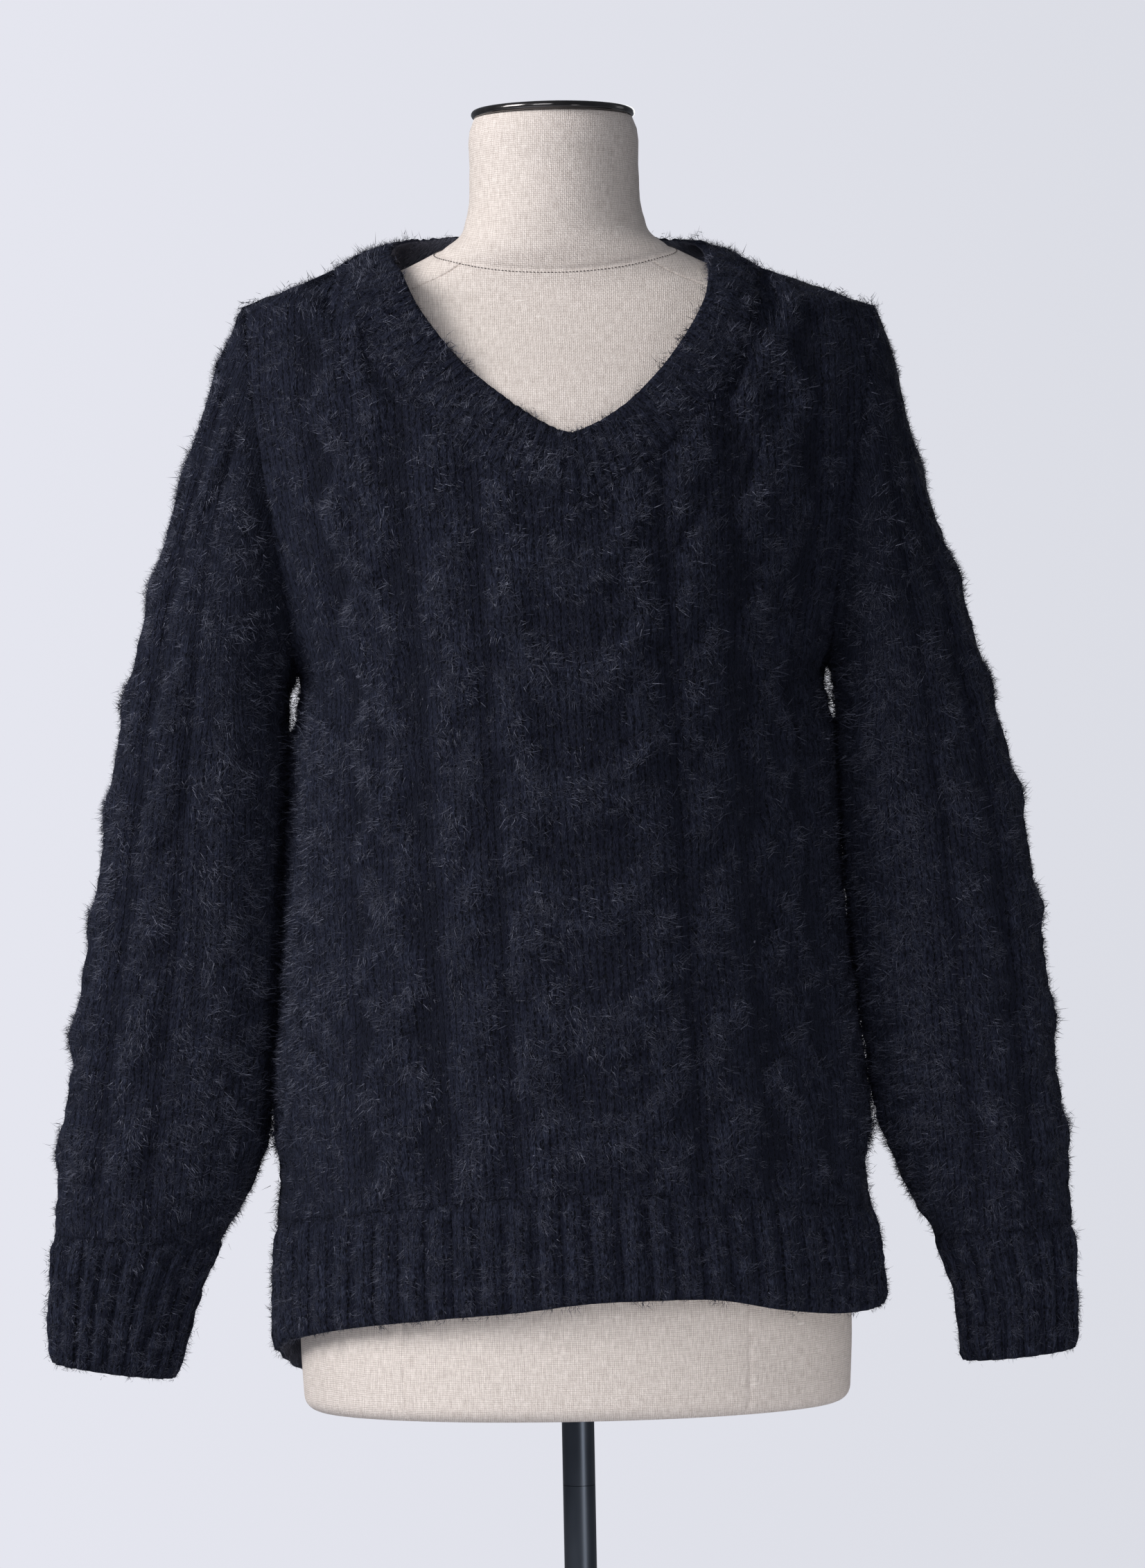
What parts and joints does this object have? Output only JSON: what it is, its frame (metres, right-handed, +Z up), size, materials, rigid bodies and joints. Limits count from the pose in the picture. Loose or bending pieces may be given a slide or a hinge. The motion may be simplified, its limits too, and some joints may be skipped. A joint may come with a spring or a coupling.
{
  "type": "pullover sweater on a dress form",
  "caption": "Fluffy dark navy cable-knit V-neck pullover with long sleeves, worn by a limbless linen dress form on a pole with a round base.",
  "frame": {"origin": "centre of the round base's underside, on the pole's axis", "axes": "+Z up the pole, -Y out of the garment's front, +X to the right as seen from the front"},
  "size_m": [0.6116, 0.34, 1.1663],
  "materials": {
    "knit": "long-haired fluffy yarn, very dark navy, matt",
    "linen": "slubby natural linen, plain weave, matt",
    "dark_chrome": "dark polished",
    "dark_steel": "blue-black, satin",
    "base_steel": "blue-black, satin"
  },
  "bodies": {
    "root": {"front": "knit", "back": "knit", "front_hem_rib": "knit", "back_hem_rib": "knit", "neckband": "knit", "sleeve_left": "knit", "sleeve_right": "knit", "cuff_left": "knit", "cuff_right": "knit", "form_torso": "linen", "neck_cap": "linen", "cap_rim": "dark_chrome", "pole_upper": "dark_steel", "pole_lower": "dark_steel", "pole_collar": "dark_steel", "base_plate": "base_steel"}
  },
  "joints": []
}
